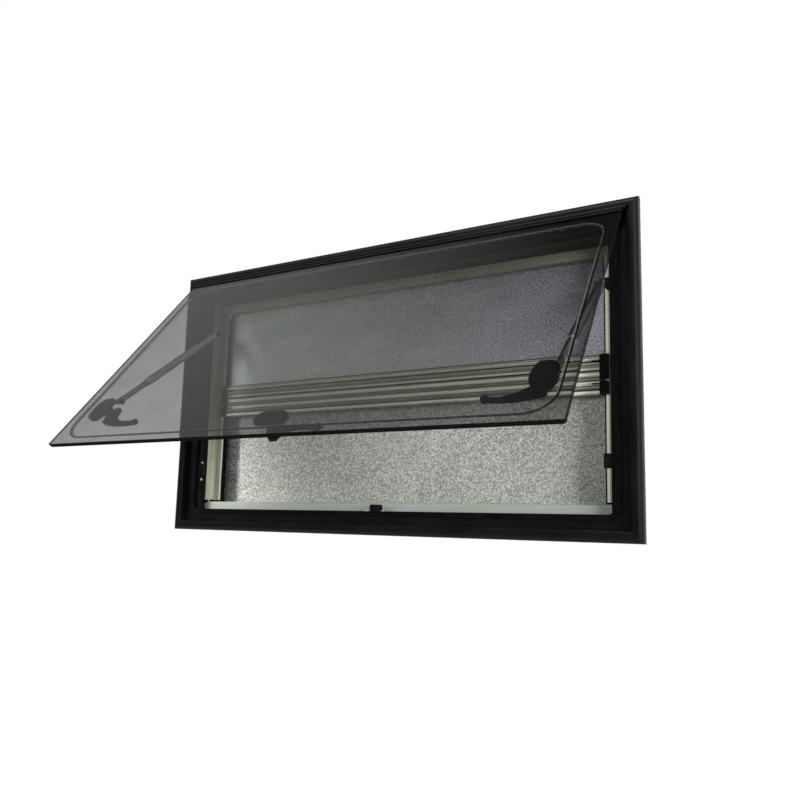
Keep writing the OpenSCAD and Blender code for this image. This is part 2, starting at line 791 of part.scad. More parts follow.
module blind_glider_right() {
  glider(bar_meet - 1 - blind_bar_h, blind_bar_h - 1, 0, 17.6);
}

module blind_glider_left() {
  mirror([1, 0, 0]) blind_glider_right();
}

frame_top_rail();
frame_bottom_rail();
frame_left_jamb();
frame_right_jamb();
sash_seal();
outer_pane();
inner_pane();
sash_hinge_profile();
latch_base_left();
latch_base_right();
latch_base_centre();
lever_left();
lever_right();
lever_centre();
keeper_left();
keeper_right();
keeper_centre();
stay_bracket_left();
stay_bracket_right();
stay_tube_left();
stay_tube_right();
stay_rod_left();
stay_rod_right();
inner_top_cassette();
inner_bottom_cassette();
inner_left_jamb();
inner_right_jamb();
sill_bar();
channel_left();
channel_right();
screen_roller();
blind_roller();
flyscreen();
blind_fabric();
screen_pull_bar();
blind_pull_bar();
screen_glider_left();
screen_glider_right();
blind_glider_left();
blind_glider_right();
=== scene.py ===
"""Top-hung caravan window, open on its stays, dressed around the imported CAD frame."""
import math

import bmesh
import bpy
from mathutils import Matrix, Vector


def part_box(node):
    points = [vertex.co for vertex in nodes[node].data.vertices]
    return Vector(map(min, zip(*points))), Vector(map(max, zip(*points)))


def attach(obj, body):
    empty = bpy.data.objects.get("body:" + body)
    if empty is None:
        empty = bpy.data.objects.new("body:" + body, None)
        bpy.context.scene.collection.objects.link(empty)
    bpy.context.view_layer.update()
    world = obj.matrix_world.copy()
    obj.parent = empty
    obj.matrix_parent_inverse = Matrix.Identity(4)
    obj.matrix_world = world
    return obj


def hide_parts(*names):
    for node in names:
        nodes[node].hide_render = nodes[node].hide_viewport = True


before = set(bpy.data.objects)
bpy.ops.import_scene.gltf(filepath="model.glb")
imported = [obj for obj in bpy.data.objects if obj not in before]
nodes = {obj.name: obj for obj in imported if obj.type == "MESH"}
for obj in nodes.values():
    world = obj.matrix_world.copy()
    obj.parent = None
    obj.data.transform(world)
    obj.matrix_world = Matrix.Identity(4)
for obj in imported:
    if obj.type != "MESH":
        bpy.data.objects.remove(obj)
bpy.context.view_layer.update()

# The photograph's frame and the camera that took it, in pixels, metres and degrees
PHOTO_PX = 800
LENS_PX = 725.8
CENTRE_PX = (404.57, 428.38)
CAMERA_AT = (0.6804, -1.1283, 0.0093)
CAMERA_YAW = 28.77
CAMERA_PITCH = 7.53
CAMERA_ROLL = 1.40
SENSOR_MM = 36.0

# The world's soft light, and how much of it gloss misses overhead
WORLD_LIGHT = 0.22
WORLD_TINT = (0.95, 1.0, 0.965)
OVERHEAD_DIM = 0.85
# The glow at the ceiling's left that only gloss shows: where it begins, how fast it rises, and its light
GLOW_FROM_X, GLOW_RISE_X = -0.25, 3.0
GLOW_FROM_Z, GLOW_RISE_Z = 0.35, 5.0
GLOW_LIGHT = 0.3
# Soft boxes that only gloss shows: the way to each, the cosine at its soft edge, and its light
SOFT_BOXES = (((0.1, -0.5, 0.86), 0.8, 3.4), ((0.85, -0.5, 0.15), 0.8, 2.2))
BOX_RISE = 7.0
# The white backdrop's soft rim, and how steep the rays through the panes may be to see it
BACKDROP_RISE = 4.0
BACKDROP_SLOPE = 0.6
WHITE = (1.0, 1.0, 1.0)
# The floor's depth and size, its two greys, and how far out it begins and ends to turn white
FLOOR_BELOW = 2.0
FLOOR_SIZE = 60.0
FLOOR_SEEN = (0.86, 0.86, 0.86)
FLOOR_BOUNCE = (0.3, 0.3, 0.3)
FLOOR_FADE = (0.9, 2.0)
# The lamps, with their places, sizes, powers in watts and colours, and the place they are aimed at
LAMPS = (("key_lamp", (-2.3, -3.3, 1.6), (1.8, 1.8), 330.0, (1.0, 0.995, 0.97)),
         ("side_lamp", (3.2, -1.6, 0.6), (1.8, 1.8), 225.0, WHITE),
         ("room_lamp", (-0.6, 2.0, 2.6), (1.6, 1.2), 60.0, WHITE))
LAMPS_AIM = (0.0, 0.0, 0.2)

# The panes' tinted acrylic, the cream of the inner frame, and that of the channels' lips
ACRYLIC_DENSITY = 235.0
ACRYLIC_GREY = (0.5, 0.51, 0.5)
ACRYLIC_INDEX = 1.49
CREAM = (0.5, 0.495, 0.39)
LIP_CREAM = (0.85, 0.845, 0.69)

# The open sash: its hinge line, its angle, the pane with its sawn edge, and the formed seam
HINGE_Y, HINGE_Z = -0.020, 0.5085
OPEN_ANGLE = math.radians(39.8)
PANE_HALF = (0.4505, 0.2429)
PANE_MIDDLE = -0.2502
SAWN_SKIN = 0.0009
SEAM_HALF = (0.4345, 0.2269)
SEAM_RADIUS = 0.043
SEAM_BAND = (-0.001, 0.005)
# The outer rail's half size and middle height, and the slight crown of its front band
FRAME_HALF = (0.475, 0.27)
FRAME_MIDDLE = 0.2585
BAND_WIDTH = 0.0194
BAND_CROWN = 0.008
# The back of the channels' lips and of the top cassette's step
LIP_BACK = 0.0476
# The outer edge of the channels' black strip, the top of the jambs' feet, and the back of the sill bar
CHANNEL_SHOW = 0.4079
FOOT_TOP = 0.0514
SILL_BACK = 0.0340
# The face of the top cassette's step, and the height up to which the step is pale; above it, and on the
# reveal in front of the face, shade is painted near black
STEP_FACE = 0.0448
STEP_PALE = 0.4735
# Where the painted shadow along the blind's left edge passes into its lit part, and the stretched cloths'
# grid
BLIND_SHADE = (-0.376, -0.366)
CLOTH_CELLS = (60, 24)

# The keepers' screws: the head's size, its cross as parts of the radius, and the screws' places
SCREW_RADIUS = 0.0027
SCREW_HEIGHT = SCREW_RADIUS * 0.55
SCREW_DOME = SCREW_RADIUS * 0.3
CROSS_MIDDLE, CROSS_ARM = 0.16, 0.34
CROSS_DEPTH = SCREW_HEIGHT * 0.6
SCREW_Y = 0.0042
SIDE_SCREW_X = 0.425
SIDE_SCREW_LEVELS = (("upper", 0.127), ("lower", 0.0925))
CENTRE_SCREW_X, CENTRE_SCREW_Z = 0.0175, 0.0315

# Heights at which the pull bars' grooves, flats and beads begin, in metres
BAR_LINES = ((0.226, "dull"), (0.2275, "bead"), (0.2325, "flat"), (0.2335, "groove"), (0.2353, "dull"),
             (0.2405, "groove"), (0.2425, "bead"), (0.2483, "dull"), (0.2535, "groove"), (0.2555, "dull"),
             (0.2575, "bead"), (0.263, "dull"), (0.265, "groove"), (0.268, "bead"), (0.272, "dull"),
             (0.2765, "flat"), (0.28, "groove"), (0.2832, "bead"), (0.2868, "dull"), (0.2885, "flat"),
             (0.2915, "groove"))
BARS_TOP = 0.295
# Each band's tone: the beads' brightness is a painted highlight and the grooves' near black is painted
# shade
BAR_TONES = {"groove": (0.02, 0.02, 0.016), "dull": (0.29, 0.29, 0.225), "flat": (0.47, 0.47, 0.385),
             "bead": (0.88, 0.88, 0.78)}


def photo_camera():
    """The camera stands where the photograph's perspective puts it."""
    yaw, pitch, roll = (math.radians(a) for a in (CAMERA_YAW, CAMERA_PITCH, CAMERA_ROLL))
    ahead = Vector((-math.sin(yaw) * math.cos(pitch), math.cos(yaw) * math.cos(pitch), math.sin(pitch)))
    level = Vector((math.cos(yaw), math.sin(yaw), 0.0))
    upright = level.cross(ahead)
    right = math.cos(roll) * level + math.sin(roll) * upright
    up = -math.sin(roll) * level + math.cos(roll) * upright
    data = bpy.data.cameras.new("photo_camera")
    data.sensor_width = SENSOR_MM
    data.lens = LENS_PX * SENSOR_MM / PHOTO_PX
    data.shift_x = (PHOTO_PX / 2 - CENTRE_PX[0]) / PHOTO_PX
    data.shift_y = (CENTRE_PX[1] - PHOTO_PX / 2) / PHOTO_PX
    data.clip_start = 0.01
    camera = bpy.data.objects.new("photo_camera", data)
    bpy.context.scene.collection.objects.link(camera)
    turn = Matrix((right, up, -ahead)).transposed().to_4x4()
    camera.matrix_world = Matrix.Translation(CAMERA_AT) @ turn
    bpy.context.scene.camera = camera


class Nodes:
    """A node tree, and short calls that add nodes to it."""

    def __init__(self, tree):
        self.tree = tree

    def feed(self, socket, value):
        """Links an output to the socket, or sets the socket's value. A colour gets its alpha here."""
        if isinstance(value, bpy.types.NodeSocket):
            self.tree.links.new(value, socket)
        elif socket.type == "RGBA":
            socket.default_value = (*value, 1.0)
        else:
            socket.default_value = value

    def node(self, kind, inputs=(), **settings):
        """A shader node with its settings, its inputs linked or set."""
        node = self.tree.nodes.new("ShaderNode" + kind)
        for key, value in settings.items():
            setattr(node, key, value)
        for key, value in dict(inputs).items():
            self.feed(node.inputs[key], value)
        return node

    def math(self, operation, *values, clamped=False):
        """The result of a math node on outputs and numbers."""
        node = self.node("Math", dict(enumerate(values)), operation=operation, use_clamp=clamped)
        return node.outputs[0]

    def past(self, value, edge, rise):
        """Zero before the edge, and rising to one past it."""
        return self.math("MULTIPLY", self.math("SUBTRACT", value, edge), rise, clamped=True)

    def blend(self, factor, first, second):
        """Two shaders mixed by a factor."""
        return self.node("MixShader", {0: factor, 1: first, 2: second}).outputs[0]


class Finish(Nodes):
    """A material with a Principled shader, and short calls for the patterns that feed it."""

    def __init__(self, name, colour, roughness, **sockets):
        self.material = bpy.data.materials.new(name)
        self.material.use_nodes = True
        super().__init__(self.material.node_tree)
        self.shader = self.tree.nodes["Principled BSDF"]
        self.output = self.tree.nodes["Material Output"]
        self.link(colour, "Base Color")
        self.link(roughness, "Roughness")
        for socket, value in sockets.items():
            self.link(value, socket.replace("_", " "))
        self.place = self.node("TexCoord").outputs["Object"]

    def link(self, value, socket):
        """Feeds an input of the Principled shader."""
        self.feed(self.shader.inputs[socket], value)

    def overpaint(self, mask, colour):
        """The colour, over the pattern that is linked so far, where the mask is one."""
        under = self.shader.inputs["Base Color"].links[0].from_socket
        self.link(self.mix(mask, under, colour), "Base Color")

    def stretched(self, scale, turn=(0.0, 0.0, 0.0)):
        """Places turned, then scaled along the turned axes."""
        turned = self.node("Mapping", {"Vector": self.place, "Rotation": turn}).outputs[0]
        return self.node("Mapping", {"Vector": turned, "Scale": scale}).outputs[0]

    def along(self, axis):
        """The place along one axis, in metres."""
        return self.node("SeparateXYZ", {"Vector": self.place}).outputs[axis]

    def beyond(self, value, edge, soft=0.0002):
        """One where the value lies past the edge, and zero before it."""
        return self.spread(value, edge - soft, edge + soft, 0.0, 1.0)

    def short_of(self, value, edge, soft=0.0002):
        """One where the value lies before the edge, and zero past it."""
        return self.spread(value, edge - soft, edge + soft, 1.0, 0.0)

    def on_sash(self):
        """Distance from the middle of the pane, across and up the pane."""
        up = (0.0, math.sin(OPEN_ANGLE), math.cos(OPEN_ANGLE))
        level = self.node("VectorMath", {0: self.place, 1: up}, operation="DOT_PRODUCT").outputs["Value"]
        middle = HINGE_Y * up[1] + HINGE_Z * up[2] + PANE_MIDDLE
        away = self.math("ABSOLUTE", self.math("SUBTRACT", level, middle))
        return self.math("ABSOLUTE", self.along("X")), away

    def noise(self, scale, detail=3.0, roughness=0.5, vector=None):
        """A cloudy pattern from zero to one."""
        inputs = {"Vector": vector or self.place, "Scale": scale, "Detail": detail, "Roughness": roughness}
        return self.node("TexNoise", inputs).outputs["Fac"]

    def ramp(self, value, stops, interpolation="LINEAR"):
        """Colours from stops, which are pairs of a position and a colour."""
        node = self.node("ValToRGB", {"Fac": value})
        node.color_ramp.interpolation = interpolation
        elements = node.color_ramp.elements
        while len(elements) < len(stops):
            elements.new(0.5)
        for element, (at, colour) in zip(elements, stops):
            element.position = at
            element.color = (*colour, 1.0)
        return node.outputs["Color"]

    def spread(self, value, low, high, to_low, to_high):
        """The value from one range laid over another."""
        inputs = {"Value": value, "From Min": low, "From Max": high, "To Min": to_low, "To Max": to_high}
        return self.node("MapRange", inputs).outputs[0]

    def mix(self, factor, first, second):
        """Two colours mixed by a factor."""
        inputs = {"Factor": factor, 6: first, 7: second}
        return self.node("Mix", inputs, data_type="RGBA").outputs[2]

    def surface(self, shader):
        """The shader that the material shows."""
        self.feed(self.output.inputs["Surface"], shader)

    def bump(self, height, strength, distance):
        """Relief from a pattern, scaled by a distance in metres."""
        inputs = {"Height": height, "Strength": strength, "Distance": distance}
        self.link(self.node("Bump", inputs).outputs[0], "Normal")

    def give(self, *pieces):
        """The finish for CAD nodes, given by name, or for new pieces."""
        for piece in pieces:
            piece = nodes[piece] if isinstance(piece, str) else piece
            piece.data.materials.clear()
            piece.data.materials.append(self.material)


def powder_coat():
    """Black powder coat with fine orange peel and a little dust, on rails with a slightly crowned front."""
    coat = Finish("black_powder_coat", (0.003, 0.0032, 0.0036), 0.4, Specular_IOR_Level=0.2)
    dust = coat.noise(14.0, 4.0, 0.6)
    stops = [(0.35, (0.0018, 0.002, 0.0024)), (0.75, (0.0045, 0.0047, 0.0052))]
    coat.link(coat.ramp(dust, stops), "Base Color")
    coat.link(coat.spread(dust, 0.3, 0.7, 0.36, 0.46), "Roughness")
    rise = coat.math("ABSOLUTE", coat.math("SUBTRACT", coat.along("Z"), FRAME_MIDDLE))
    side = coat.math("SUBTRACT", FRAME_HALF[0], coat.math("ABSOLUTE", coat.along("X")))
    inward = coat.math("MINIMUM", side, coat.math("SUBTRACT", FRAME_HALF[1], rise))
    across = coat.spread(inward, 0.0, BAND_WIDTH, 0.0, 1.0)
    crown = coat.math("MULTIPLY", across, coat.math("SUBTRACT", 1.0, across))
    peel = coat.math("MULTIPLY", coat.noise(900.0, 2.0), 0.008)
    coat.bump(coat.math("ADD", crown, peel), 1.0, BAND_CROWN)
    return coat


def seal_rubber():
    """Dull black rubber."""
    rubber = Finish("seal_rubber", (0.003, 0.003, 0.0033), 0.7, Specular_IOR_Level=0.05)
    tone = rubber.noise(40.0)
    stops = [(0.3, (0.002, 0.002, 0.0022)), (0.7, (0.0045, 0.0045, 0.0048))]
    rubber.link(rubber.ramp(tone, stops), "Base Color")
    rubber.link(rubber.spread(tone, 0.3, 0.7, 0.55, 0.75), "Roughness")
    rubber.bump(rubber.noise(500.0, 2.0), 0.2, 0.0004)
    return rubber


def moulded_black(name, colour, roughness):
    """Black moulded plastic with a spark-eroded grain."""
    plastic = Finish(name, colour, roughness, Specular_IOR_Level=0.1)
    tone = plastic.noise(60.0, 3.0)
    low = tuple(c * 0.6 for c in colour)
    high = tuple(c * 1.6 for c in colour)
    plastic.link(plastic.ramp(tone, [(0.3, low), (0.75, high)]), "Base Color")
    plastic.link(plastic.spread(tone, 0.3, 0.7, roughness - 0.06, roughness + 0.08), "Roughness")
    plastic.bump(plastic.noise(700.0, 3.0), 0.2, 0.0003)
    return plastic


def moulded_pale(name, colour, roughness, streaks=0.0):
    """Pale moulded plastic, a little yellowed in places, or with fine streaks up its faces where asked."""
    plastic = Finish(name, colour, roughness)
    warm = (colour[0] * 0.97, colour[1] * 0.95, colour[2] * 0.8)
    grain = plastic.noise(900.0, 2.0)
    if streaks:
        drawn = plastic.noise(1.0, 2.0, 0.5, plastic.stretched((streaks, streaks, 5.0)))
        pale = plastic.spread(drawn, 0.36, 0.62, 0.0, 1.0)
        dark = tuple(c * 0.5 for c in warm)
        plastic.link(plastic.mix(pale, dark, colour), "Base Color")
        plastic.bump(plastic.math("MULTIPLY_ADD", drawn, grain, 0.12), 0.35, 0.0012)
    else:
        yellowed = plastic.spread(plastic.noise(9.0, 4.0, 0.6), 0.35, 0.7, 0.0, 0.8)
        plastic.link(plastic.mix(yellowed, colour, warm), "Base Color")
        plastic.bump(grain, 0.1, 0.0003)
    return plastic


def acrylic_sheet(name):
    """Grey tinted acrylic sheet whose sawn edges are painted near black, as painted shade for how dark the
    tinted sheet looks end-on. It is darker the longer the way through it.
    """
    sheet = Finish(name, (1.0, 1.0, 1.0), 0.0, Transmission_Weight=1.0, IOR=ACRYLIC_INDEX)
    wipes = sheet.noise(11.0, 4.0, 0.65, sheet.stretched((1.0, 2.4, 1.0)))
    sheet.link(sheet.ramp(wipes, [(0.4, (1.0, 1.0, 1.0)), (0.75, (0.93, 0.94, 0.93))]), "Base Color")
    across, up = sheet.on_sash()
    sawn = sheet.math("MAXIMUM", sheet.beyond(across, PANE_HALF[0] - SAWN_SKIN),
                      sheet.beyond(up, PANE_HALF[1] - SAWN_SKIN))
    # painted shade: the sawn edges show a near-black matt finish instead of the clear sheet
    matt = sheet.node("BsdfDiffuse", {"Color": (0.005, 0.0055, 0.005)})
    edged = sheet.blend(sheet.math("MULTIPLY", sawn, 0.9), sheet.shader.outputs[0], matt.outputs[0])
    thin = sheet.node("BsdfTransparent", {"Color": (0.93, 0.93, 0.93)})
    shadow = sheet.node("LightPath").outputs["Is Shadow Ray"]
    sheet.surface(sheet.blend(shadow, edged, thin.outputs[0]))
    smoke = sheet.node("VolumeAbsorption", {"Color": ACRYLIC_GREY, "Density": ACRYLIC_DENSITY})
    sheet.feed(sheet.output.inputs["Volume"], smoke.outputs[0])
    return sheet


def formed_acrylic():
    """The inner sheet, whose formed seam is painted as a dark line of painted shade with a bright line of
    painted highlight inside it.
    """
    sheet = acrylic_sheet("formed_acrylic")
    across, up = sheet.on_sash()
    reach_x = sheet.math("MAXIMUM", sheet.math("SUBTRACT", across, SEAM_HALF[0] - SEAM_RADIUS), 0.0)
    reach_z = sheet.math("MAXIMUM", sheet.math("SUBTRACT", up, SEAM_HALF[1] - SEAM_RADIUS), 0.0)
    reach = sheet.math("SQRT", sheet.math("ADD", sheet.math("MULTIPLY", reach_x, reach_x),
                                          sheet.math("MULTIPLY", reach_z, reach_z)))
    inside = sheet.spread(sheet.math("SUBTRACT", SEAM_RADIUS, reach), *SEAM_BAND, 0.0, 1.0)
    none, full, faint = (0.0, 0.0, 0.0), (0.9, 0.9, 0.9), (0.13, 0.13, 0.13)
    # painted shade for the seam's dark line, and painted highlight for the bright line inside it
    shade = sheet.ramp(inside, [(0.0, none), (0.28, full), (0.42, full), (0.55, none)])
    shine = sheet.ramp(inside, [(0.5, none), (0.62, faint), (0.8, faint), (0.95, none)])
    dark = sheet.node("BsdfDiffuse", {"Color": (0.006, 0.0065, 0.006)})
    light = sheet.node("BsdfDiffuse", {"Color": (0.8, 0.82, 0.8)})
    plain = sheet.output.inputs["Surface"].links[0].from_socket
    sheet.surface(sheet.blend(shine, sheet.blend(shade, plain, dark.outputs[0]), light.outputs[0]))
    return sheet


def stay_metal(name, colour, edge):
    """Polished metal of the stays, with painted shade: flanks turned from the view are painted dark around
    a bright core, with fine drawing lines.
    """
    metal = Finish(name, colour, 0.42, Metallic=0.15, Specular_IOR_Level=0.2)
    # painted shade: the facing drives the flanks towards the dark colour
    flank = metal.node("LayerWeight", {"Blend": 0.5}).outputs["Facing"]
    lines = metal.noise(500.0, 2.0, 0.5, metal.stretched((1.0, 0.1, 0.1)))
    tone = metal.mix(metal.spread(lines, 0.3, 0.7, 0.0, 0.25), colour, edge)
    metal.link(metal.mix(metal.spread(flank, 0.3, 0.62, 0.0, 1.0), tone, edge), "Base Color")
    metal.link(metal.spread(lines, 0.3, 0.7, 0.38, 0.5), "Roughness")
    metal.bump(lines, 0.1, 0.0003)
    return metal


def drawn_aluminium(name, colour, roughness, along):
    """Anodised aluminium with fine drawing lines along one axis."""
    metal = Finish(name, colour, roughness, Metallic=1.0)
    lines = metal.noise(500.0, 2.0, 0.5, metal.stretched(along))
    metal.link(metal.spread(lines, 0.3, 0.7, roughness - 0.08, roughness + 0.1), "Roughness")
    low = tuple(c * 0.8 for c in colour)
    metal.link(metal.ramp(lines, [(0.3, low), (0.7, colour)]), "Base Color")
    metal.bump(lines, 0.1, 0.0003)
    return metal


def pull_bar_metal():
    """Ribbed pull bars: bright beads, dull flats and dark grooves, one over the other, painted by height;
    the beads' brightness is painted highlight and the grooves' darkness painted shade.
    """
    metal = Finish("pull_bar_aluminium", (0.4, 0.4, 0.36), 0.5, Metallic=0.12)
    low = BAR_LINES[0][0]
    stops = [((level - low) / (BARS_TOP - low), BAR_TONES[tone]) for level, tone in BAR_LINES]
    rise = metal.spread(metal.along("Z"), low, BARS_TOP, 0.0, 1.0)
    # painted highlight and shade: the bands' tones are laid up the bars by height
    metal.link(metal.ramp(rise, stops, "CONSTANT"), "Base Color")
    lines = metal.noise(500.0, 2.0, 0.5, metal.stretched((0.03, 1.0, 1.0)))
    metal.overpaint(metal.spread(lines, 0.35, 0.65, 0.0, 0.15), (0.1, 0.1, 0.08))
    metal.link(metal.spread(lines, 0.3, 0.7, 0.44, 0.6), "Roughness")
    metal.bump(lines, 0.1, 0.0003)
    return metal


def channel_black():
    """Black side channels, whose lips are cream up to the strip beside the fabrics."""
    plastic = moulded_black("channel_black", (0.004, 0.004, 0.0045), 0.55)
    outer = plastic.beyond(plastic.math("ABSOLUTE", plastic.along("X")), CHANNEL_SHOW)
    front = plastic.short_of(plastic.along("Y"), LIP_BACK)
    above = plastic.beyond(plastic.along("Z"), FOOT_TOP)
    plastic.overpaint(plastic.math("MULTIPLY", plastic.math("MULTIPLY", outer, front), above), LIP_CREAM)
    return plastic


def top_plastic():
    """The top cassette, with painted shade darkening its reveal and the upper part of its step, and pale on
    the lower part of its step.
    """
    plastic = moulded_pale("top_plastic", CREAM, 0.5)
    reveal = plastic.short_of(plastic.along("Y"), STEP_FACE)
    step = plastic.math("MULTIPLY", plastic.beyond(plastic.along("Z"), STEP_PALE),
                        plastic.short_of(plastic.along("Y"), LIP_BACK))
    # painted shade: the reveal and the step above STEP_PALE are overpainted near black where they lie in
    # shade
    dim = plastic.math("MULTIPLY", plastic.math("MAXIMUM", reveal, step), 0.93)
    plastic.overpaint(dim, (0.02, 0.021, 0.019))
    return plastic


def cassette_plastic():
    """The bottom cassette, black in front, around the sill bar."""
    plastic = moulded_pale("cassette_plastic", CREAM, 0.5)
    plastic.overpaint(plastic.short_of(plastic.along("Y"), SILL_BACK), (0.01, 0.01, 0.009))
    return plastic


def blackout_cloth():
    """Silver blackout cloth with a diagonal crepe, with a painted shadow along its left edge."""
    cloth = Finish("blackout_cloth", (0.29, 0.3, 0.285), 0.6)
    lean = cloth.stretched((1.0, 1.0, 2.3), (0.0, math.radians(45.0), 0.0))
    crepe = cloth.noise(250.0, 3.0, 0.6, lean)
    tone = cloth.math("ADD", cloth.spread(cloth.noise(5.0, 3.0), 0.3, 0.7, -0.03, 0.03), crepe)
    stops = [(0.38, (0.13, 0.135, 0.125)), (0.5, (0.285, 0.295, 0.275)), (0.62, (0.52, 0.53, 0.5))]
    lit = cloth.ramp(tone, stops)
    # painted shadow: darker tones of the crepe for the shadow cast along the cloth's left edge
    stops = [(0.4, (0.008, 0.009, 0.008)), (0.5, (0.04, 0.044, 0.04)), (0.6, (0.16, 0.17, 0.16))]
    shade = cloth.ramp(tone, stops)
    shaded = cloth.spread(cloth.along("X"), *BLIND_SHADE, 1.0, 0.0)
    cloth.link(cloth.mix(shaded, lit, shade), "Base Color")
    cloth.bump(crepe, 0.9, 0.002)
    return cloth


def insect_mesh():
    """Fine grey insect mesh, with painted light making it paler on the left."""
    mesh = Finish("insect_mesh", (0.2, 0.19, 0.235), 0.75)
    grain = mesh.noise(300.0, 3.0, 0.6)
    stops = [(0.38, (0.27, 0.26, 0.31)), (0.5, (0.42, 0.41, 0.48)), (0.62, (0.6, 0.585, 0.68))]
    right = mesh.ramp(grain, stops)
    stops = [(0.38, (0.5, 0.51, 0.5)), (0.5, (0.7, 0.71, 0.7)), (0.62, (0.85, 0.86, 0.85))]
    left = mesh.ramp(grain, stops)
    # painted light: the mesh is painted paler towards the left and darker towards the right
    mesh.link(mesh.mix(mesh.spread(mesh.along("X"), -0.3, 0.3, 1.0, 0.0), right, left), "Base Color")
    mesh.bump(grain, 0.5, 0.0008)
    return mesh


def zinc_steel():
    """Bright zinc on small steel parts, with faint bloom."""
    steel = Finish("zinc_steel", (0.7, 0.7, 0.68), 0.3, Metallic=0.5)
    bloom = steel.noise(300.0, 3.0, 0.6)
    steel.link(steel.ramp(bloom, [(0.35, (0.5, 0.5, 0.5)), (0.7, (0.78, 0.78, 0.76))]), "Base Color")
    steel.link(steel.spread(bloom, 0.3, 0.7, 0.22, 0.42), "Roughness")
    steel.bump(steel.noise(1200.0, 2.0), 0.1, 0.0002)
    return steel


def pick(mesh, test):
    """Selects the vertices that pass the test, in vertex mode."""
    bpy.ops.mesh.select_mode(type="VERT")
    bpy.ops.mesh.select_all(action="DESELECT")
    data = bmesh.from_edit_mesh(mesh)
    for vertex in data.verts:
        vertex.select = test(vertex.co)
    data.select_flush(True)
    bmesh.update_edit_mesh(mesh)


def pan_screw(name, at, turn, finish):
    """A domed screw head with a cross recess. Its flat side lies on the surface at the given place."""
    bpy.ops.object.select_all(action="DESELECT")
    bpy.ops.mesh.primitive_cylinder_add(vertices=24, radius=SCREW_RADIUS, depth=SCREW_HEIGHT,
                                        location=(0.0, 0.0, SCREW_HEIGHT / 2))
    screw = bpy.context.object
    screw.name = name
    bpy.ops.object.transform_apply(location=True, rotation=True, scale=True)
    bpy.ops.object.mode_set(mode="EDIT")
    pick(screw.data, lambda co: co.z > SCREW_HEIGHT * 0.9)
    bpy.ops.mesh.bevel(offset=SCREW_DOME, segments=3, affect="EDGES")
    pick(screw.data, lambda co: co.z > SCREW_HEIGHT * 0.98)
    bpy.ops.mesh.inset(thickness=SCREW_RADIUS * 0.1)
    data = bmesh.from_edit_mesh(screw.data)
    for vertex in data.verts:
        if vertex.select:
            angle = math.atan2(vertex.co.y, vertex.co.x)
            arm = abs(math.cos(2.0 * angle)) ** 3
            reach = SCREW_RADIUS * (CROSS_MIDDLE + CROSS_ARM * arm)
            vertex.co.x, vertex.co.y = reach * math.cos(angle), reach * math.sin(angle)
    bmesh.update_edit_mesh(screw.data)
    bpy.ops.mesh.extrude_region_move(TRANSFORM_OT_translate={"value": (0.0, 0.0, -CROSS_DEPTH)})
    bpy.ops.mesh.select_all(action="SELECT")
    bpy.ops.mesh.normals_make_consistent(inside=False)
    bpy.ops.object.mode_set(mode="OBJECT")
    screw.rotation_euler = turn
    screw.location = at
    bpy.ops.object.transform_apply(location=True, rotation=True, scale=True)
    bpy.ops.object.shade_smooth_by_angle(angle=math.radians(35.0))
    finish.give(screw)
    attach(screw, "frame")


def screws():
    """Keeper screws on the throat's liners and floor."""
    finish = zinc_steel()
    for side, name in ((-1, "left"), (1, "right")):
        turn = (0.0, -side * math.radians(90.0), 0.0)
        for level, z in SIDE_SCREW_LEVELS:
            pan_screw(f"keeper_screw_{name}_{level}", (side * SIDE_SCREW_X, SCREW_Y, z), turn, finish)
        at = (side * CENTRE_SCREW_X, SCREW_Y, CENTRE_SCREW_Z)
        pan_screw(f"keeper_screw_centre_{name}", at, (0.0, 0.0, 0.0), finish)


def stretched_cloth(name, node, finish):
    """A stretched cloth in the middle plane of its CAD solid."""
    low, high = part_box(node)
    width, height = high[0] - low[0], high[2] - low[2]
    centre = tuple((a + b) / 2 for a, b in zip(low, high))
    bpy.ops.object.select_all(action="DESELECT")
    bpy.ops.mesh.primitive_grid_add(x_subdivisions=CLOTH_CELLS[0], y_subdivisions=CLOTH_CELLS[1], size=1.0)
    cloth = bpy.context.object
    cloth.name = name
    cloth.scale = (width, height, 1.0)
    cloth.rotation_euler = (math.radians(90.0), 0.0, 0.0)
    cloth.location = centre
    bpy.ops.object.transform_apply(location=True, rotation=True, scale=True)
    finish.give(cloth)
    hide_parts(node)
    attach(cloth, "frame")


def area_lamp(name, at, size, power, colour):
    """A soft lamp aimed at the window. The panes neither mirror nor show it."""
    data = bpy.data.lights.new(name, "AREA")
    data.shape = "RECTANGLE"
    data.size, data.size_y = size
    data.energy = power
    data.color = colour
    lamp = bpy.data.objects.new(name, data)
    lamp.visible_glossy = False
    lamp.visible_transmission = False
    bpy.context.scene.collection.objects.link(lamp)
    lamp.location = at
    lamp.rotation_euler = (Vector(LAMPS_AIM) - Vector(at)).to_track_quat("-Z", "Y").to_euler()


def soft_light(hall, way, split, gloss):
    """The strength of the soft light. Gloss sees it dim overhead, with a glow and soft boxes in it."""
    overhead = hall.math("MULTIPLY", split["Z"], gloss)
    dimmed = hall.math("SUBTRACT", 1.0, hall.math("MULTIPLY", overhead, OVERHEAD_DIM))
    side = hall.past(GLOW_FROM_X, split["X"], GLOW_RISE_X)
    high = hall.past(split["Z"], GLOW_FROM_Z, GLOW_RISE_Z)
    glow = hall.math("MULTIPLY", hall.math("MULTIPLY", side, high),
                     hall.math("MULTIPLY", gloss, GLOW_LIGHT))
    strength = hall.math("ADD", hall.math("MULTIPLY", dimmed, WORLD_LIGHT), glow)
    for toward, edge, light in SOFT_BOXES:
        cosine = hall.node("VectorMath", {0: way, 1: toward}, operation="DOT_PRODUCT").outputs["Value"]
        near = hall.past(cosine, edge, BOX_RISE)
        lit = hall.math("MULTIPLY", near, hall.math("MULTIPLY", gloss, light))
        strength = hall.math("ADD", strength, lit)
    return strength


